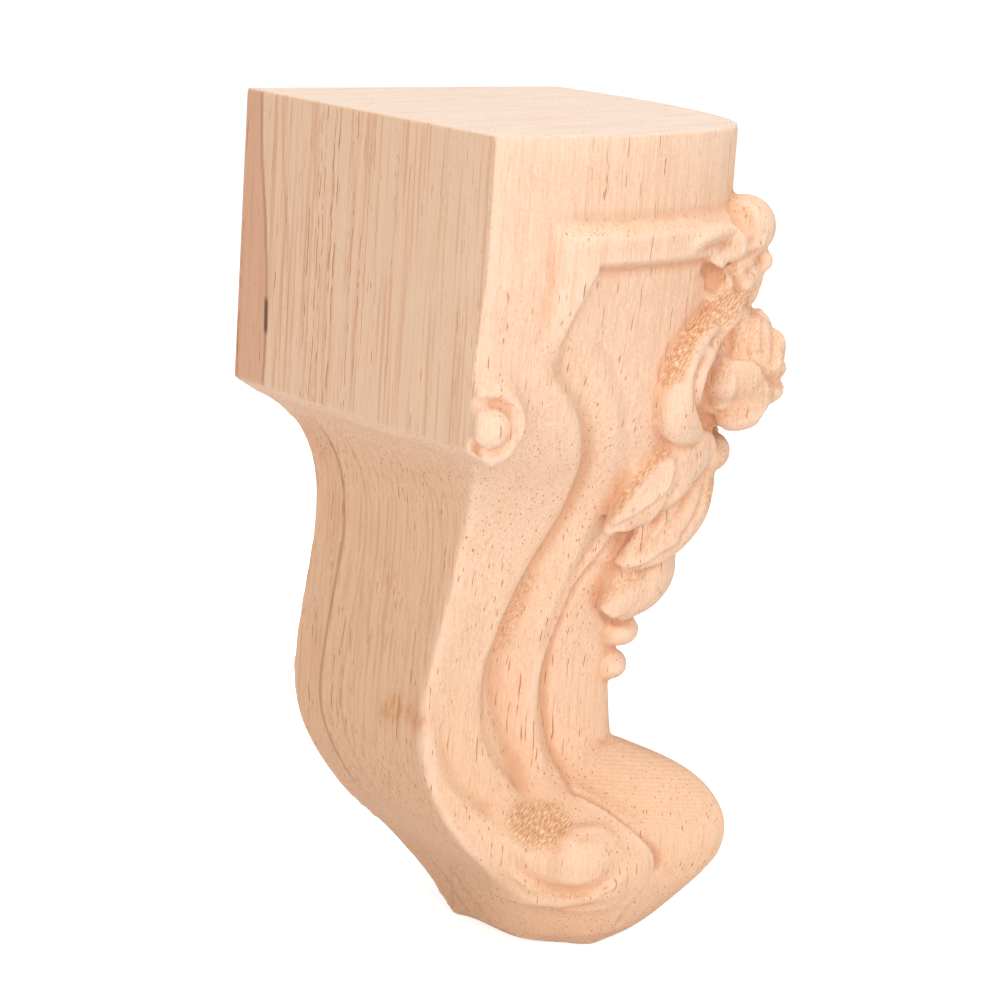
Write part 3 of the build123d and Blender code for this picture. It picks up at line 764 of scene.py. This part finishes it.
def wood():
    """The leg's material."""
    g = Graph("wood")
    spot = g.node("ShaderNodeTexCoord").outputs["Object"]
    place = g.scaled(spot, (1000, 1000, 1000))
    apart = g.node("ShaderNodeSeparateXYZ", {"Vector": place})
    across, height_mm = apart.outputs["X"], apart.outputs["Z"]
    torn, sawn, tool, stain = (mask(g, name) for name in ("torn", "sawn", "tool", "stain"))
    lay = g.node("ShaderNodeAttribute", attribute_name="lay").outputs["Vector"]

    # ground: pale and pink clouds, tan bands, fibres, painted shade in the hollows and painted highlight on
    # the crests, paler end grain
    cloud = g.noise(g.scaled(place, (0.05, 0.05, 0.012)), 1.0, 3.0)
    bands = g.noise(g.scaled(place, (0.9, 0.25, 0.012)), 1.0, 4.0, 0.6)
    streaks = g.noise(g.scaled(place, (2.2, 2.2, 0.06)), 1.0, 3.0, 0.6)
    fibre = g.noise(g.scaled(place, (7.0, 7.0, 0.35)), 1.0, 2.0)
    grit = g.noise(place, 6.0, 2.0)

    colour = g.mix(g.span(cloud, 0.3, 0.7), PALE, PINK)
    colour = g.mix(g.span(bands, 0.42, 0.72, 0.0, 0.5), colour, TAN)
    colour = g.mix(g.span(height_mm, 60.0, 5.0, 0.0, 0.6), colour, WARM)
    colour = g.mix(g.span(streaks, 0.45, 0.75, 0.0, 0.6), colour, FIBRE)
    colour = g.mix(g.span(fibre, 0.40, 0.70, 0.0, 0.45), colour, FIBRE)
    colour = g.mix(g.span(grit, 0.45, 0.75, 0.0, 0.35), colour, LIGHT)
    fuzz = g.noise(place, 2.2, 3.0, 0.7)
    colour = g.mix(g.span(fuzz, 0.45, 0.72, 0.0, 0.4), colour, FIBRE)
    colour = g.mix(g.sum("MULTIPLY", sawn, 0.5), colour, SAWN)
    # painted shade: grooves, corners and recesses are browned by how hollow they are; painted highlight:
    # crests and edges are paled
    hollow = mask(g, "hollow")
    colour = g.mix(g.span(hollow, 0.0, -1.4, 0.0, 0.6), colour, DEEP)
    colour = g.mix(g.span(hollow, 0.1, 1.4, 0.0, 0.25), colour, LIGHT)
    coarse = g.noise(g.scaled(place, (1.6, 1.6, 0.035)), 1.0, 3.0, 0.65)
    colour = g.mix(g.sum("MULTIPLY", g.span(coarse, 0.48, 0.68), g.sum("MULTIPLY", sawn, 0.6)), colour, DEEP)
    colour = g.mix(g.sum("MULTIPLY", mask(g, "end"), 0.6), colour, END)
    across_top = g.node("ShaderNodeMapping", {"Vector": place, "Rotation": (0, 0, 0.6)}).outputs[0]
    arcs = g.span(g.noise(g.scaled(across_top, (0.05, 0.7, 0)), 1.0, 3.0), 0.45, 0.65, 0.0, 0.5)
    colour = g.mix(g.sum("MULTIPLY", mask(g, "end"), arcs), colour, PINK)

    # growth rings cut by the sawn faces, with the redder wood near the inner corner and a dark streak
    wobble = g.sum("MULTIPLY", g.sum("SUBTRACT", g.noise(g.scaled(place, (0, 0, 0.05)), 1.0, 1.0), 0.5), 1.2)
    near_corner = g.sum("ADD", g.sum("ADD", across, wobble), g.span(height_mm, 100.0, 76.0, 0.0, 2.0))
    inner = g.sum("MULTIPLY", g.span(near_corner, -2.5, -2.1), g.span(near_corner, 3.4, 2.4))
    inner = g.sum("MULTIPLY", inner, g.span(height_mm, 50.0, 66.0, 0.15, 0.65))
    colour = g.mix(g.sum("MULTIPLY", inner, sawn), colour, PINKER)
    for centre, strength in RINGS:
        off = g.sum("ABSOLUTE", g.sum("SUBTRACT", near_corner, centre))
        ring = g.sum("MULTIPLY", g.span(off, 0.35, 0.02), g.sum("MULTIPLY", sawn, strength))
        colour = g.mix(ring, colour, RING)
    off = g.sum("ABSOLUTE", g.sum("SUBTRACT", near_corner, RINGS[0][0]))
    length = g.span(g.sum("ABSOLUTE", g.sum("SUBTRACT", height_mm, STREAK_HEIGHT)), 2.6, 1.4)
    streak = g.sum("MULTIPLY", g.span(off, 0.42, 0.1), length)
    colour = g.mix(g.sum("MULTIPLY", streak, g.sum("MULTIPLY", sawn, 0.8)), colour, STREAK)

    # pores
    tubes = pores(g, place, 1.7, 0.7, 0.095, 3.7)
    fine = pores(g, place, 2.6, 0.6, 0.05, 11.3)
    broken = g.span(g.noise(g.scaled(place, (0.35, 0.35, 0.12)), 1.0, 2.0), 0.32, 0.50)
    pore = g.sum("MULTIPLY", g.sum("MAXIMUM", tubes, g.sum("MULTIPLY", fine, 0.55)), broken)
    colour = g.mix(g.sum("MULTIPLY", pore, 0.8), colour, PORE)

    # torn fibre and stains
    turned = g.node("ShaderNodeMapping", {"Vector": lay, "Rotation": (0, 0, 0.65)}).outputs[0]
    rag = g.noise(g.scaled(turned, (6.5, 1.5, 1)), 1.0, 2.0, 0.5)
    hairs = g.sum("MULTIPLY", g.span(rag, 0.50, 0.62), torn)
    gaps = g.sum("MULTIPLY", g.span(rag, 0.50, 0.38), torn)
    colour = g.mix(g.sum("MULTIPLY", torn, 0.6), colour, DEEP)
    colour = g.mix(g.sum("MULTIPLY", hairs, 0.75), colour, HAIR)
    colour = g.mix(g.sum("MULTIPLY", gaps, 0.6), colour, GAP)
    soak = g.span(g.noise(g.scaled(place, (1.2, 1.2, 0.5)), 1.0, 3.0, 0.6), 0.35, 0.65, 0.1, 0.5)
    colour = g.mix(g.sum("MULTIPLY", stain, soak, clamp=True), colour, STAIN)

    # tool lines on the toe
    level = g.node("ShaderNodeMapping", {"Vector": lay, "Rotation": (0, 0, 0.06)}).outputs[0]
    lines = g.node("ShaderNodeTexWave", {"Vector": level, "Scale": 0.66, "Distortion": 1.0, "Detail": 1.0,
                                         "Detail Scale": 0.6}, bands_direction="Y").outputs["Fac"]
    cut = g.sum("MULTIPLY", lines, tool)
    colour = g.mix(g.sum("MULTIPLY", cut, 0.32), colour, FIBRE)

    # relief, in mm
    height = g.sum("MULTIPLY", fibre, 0.03)
    height = g.sum("ADD", height, g.sum("MULTIPLY", fuzz, 0.07))
    height = g.sum("ADD", height, g.sum("MULTIPLY", cut, -0.03))
    height = g.sum("ADD", height, g.sum("MULTIPLY", g.sum("MULTIPLY", rag, torn), 0.28))
    bump = g.node("ShaderNodeBump", {"Strength": 0.8, "Distance": 0.001, "Height": height}).outputs[0]

    rough = g.span(fibre, 0.2, 0.8, 0.62, 0.78)
    shader = g.node("ShaderNodeBsdfPrincipled", {"Base Color": colour, "Roughness": rough, "Normal": bump})
    shader.inputs["Specular IOR Level"].default_value = 0.25
    g.node("ShaderNodeOutputMaterial", {"Surface": shader.outputs[0]})
    return g.material


PALE, PINK, LIGHT = shade(238, 204, 176), shade(243, 205, 180), shade(250, 222, 198)
TAN, FIBRE, SAWN = shade(232, 188, 150), shade(222, 172, 132), shade(222, 178, 138)
PINKER, RING, STREAK = shade(214, 158, 126), shade(160, 104, 72), shade(60, 42, 34)
PORE, HAIR, GAP, STAIN = shade(176, 98, 52), shade(252, 222, 180), shade(206, 136, 84), shade(196, 120, 52)
DEEP, END, WARM = shade(212, 152, 112), shade(250, 236, 222), shade(234, 184, 146)


# Stage, in metres

FLOOR_SHADE, FLOOR_GLOW = (0.8, 0.8, 0.8, 1), 0.66
WORLD_LIGHT = 0.42

# Lamps: name, place, aim, size, power in watts
LAMPS = [
    ("key", (-0.34, -0.70, 0.62), (0, 0, 0.05), 0.45, 1.4),
    ("front", (-0.80, -0.26, 0.34), (0, 0, 0.05), 0.45, 2.9),
    ("side", (-0.80, 0.24, 0.06), (0, 0, 0.03), 0.5, 2.5),
    ("top", (0.05, -0.10, 0.80), (0, 0, 0.05), 0.4, 2.7),
]


def stage_material():
    """Pale floor: camera rays see it a little brighter, so that it is white outside the shadow."""
    g = Graph("floor")
    rays = g.node("ShaderNodeLightPath")
    plain = g.node("ShaderNodeBsdfDiffuse", {"Color": FLOOR_SHADE})
    lit = g.node("ShaderNodeEmission", {"Color": (1, 1, 1, 1), "Strength": FLOOR_GLOW})
    bright = g.node("ShaderNodeAddShader")
    g.tree.links.new(plain.outputs[0], bright.inputs[0])
    g.tree.links.new(lit.outputs[0], bright.inputs[1])
    mirror = g.sum("MAXIMUM", rays.outputs["Is Camera Ray"], rays.outputs["Is Glossy Ray"])
    mirror = g.sum("MAXIMUM", mirror, rays.outputs["Is Transmission Ray"])
    choice = g.node("ShaderNodeMixShader", {"Fac": mirror})
    g.tree.links.new(plain.outputs[0], choice.inputs[1])
    g.tree.links.new(bright.outputs[0], choice.inputs[2])
    g.node("ShaderNodeOutputMaterial", {"Surface": choice.outputs[0]})
    return g.material


def floor():
    """Plain pale floor under the leg."""
    mesh = bpy.data.meshes.new("floor")
    half = 3.0
    corners = [(-half, -half, 0), (half, -half, 0), (half, half, 0), (-half, half, 0)]
    mesh.from_pydata(corners, [], [(0, 1, 2, 3)])
    plane = bpy.data.objects.new("floor", mesh)
    mesh.materials.append(stage_material())
    bpy.context.collection.objects.link(plane)


def area(name, place, target, size, power):
    """Soft square lamp."""
    data = bpy.data.lights.new(name, "AREA")
    data.size = size
    data.energy = power
    lamp = bpy.data.objects.new(name, data)
    lamp.location = place
    lamp.rotation_euler = (Vector(target) - Vector(place)).to_track_quat("-Z", "Y").to_euler()
    bpy.context.collection.objects.link(lamp)


def world():
    """Soft white surroundings: white where the camera looks, gentler as light."""
    made = bpy.data.worlds.new("world")
    made.use_nodes = True
    tree = made.node_tree
    tree.nodes.clear()
    rays = tree.nodes.new("ShaderNodeLightPath")
    soft = tree.nodes.new("ShaderNodeBackground")
    soft.inputs["Color"].default_value = (1, 1, 1, 1)
    soft.inputs["Strength"].default_value = WORLD_LIGHT
    white = tree.nodes.new("ShaderNodeBackground")
    white.inputs["Color"].default_value = (1, 1, 1, 1)
    white.inputs["Strength"].default_value = 1.0
    both = tree.nodes.new("ShaderNodeMath")
    both.operation = "MAXIMUM"
    tree.links.new(rays.outputs["Is Camera Ray"], both.inputs[0])
    tree.links.new(rays.outputs["Is Transmission Ray"], both.inputs[1])
    mix = tree.nodes.new("ShaderNodeMixShader")
    tree.links.new(both.outputs[0], mix.inputs[0])
    tree.links.new(soft.outputs[0], mix.inputs[1])
    tree.links.new(white.outputs[0], mix.inputs[2])
    out = tree.nodes.new("ShaderNodeOutputWorld")
    tree.links.new(mix.outputs[0], out.inputs[0])
    bpy.context.scene.world = made


camera()
leg = clay()
carve(Skin(leg))
thin(leg, TRIANGLES)
mark(leg)
face_normals(leg)
leg.data.materials.clear()
leg.data.materials.append(wood())
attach(leg, "root")
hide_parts("carved_leg")
floor()
for lamp in LAMPS:
    area(*lamp)
world()
bpy.context.scene.view_settings.view_transform = "Standard"
